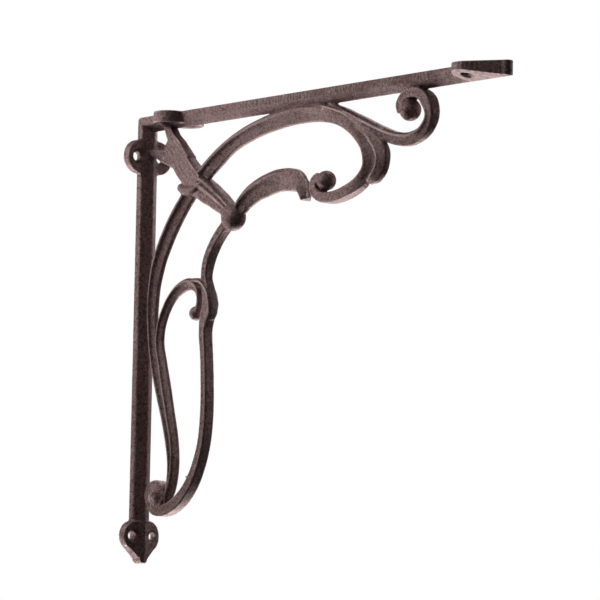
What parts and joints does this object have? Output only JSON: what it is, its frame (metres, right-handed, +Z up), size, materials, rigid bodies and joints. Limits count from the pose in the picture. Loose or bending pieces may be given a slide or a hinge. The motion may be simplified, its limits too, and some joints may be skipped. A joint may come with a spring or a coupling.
{
  "type": "ornate cast iron shelf bracket",
  "caption": "Right-angled cast iron shelf bracket with ridged bars, screw ears and an openwork scroll brace that grows from a carved leaf in the corner.",
  "frame": {"origin": "on the flat back of the wall bar, halfway up it and midway across it, where the bracket meets the wall", "axes": "+X out from the wall along the shelf arm, +Y across the bracket, +Z up the wall towards the shelf"},
  "size_m": [0.235, 0.025, 0.2],
  "materials": {
    "cast_iron": "antique brown, grainy sand-cast skin, waxed and lightly worn on the ridges"
  },
  "bodies": {
    "root": {"bracket_casting": "cast_iron"}
  },
  "joints": []
}
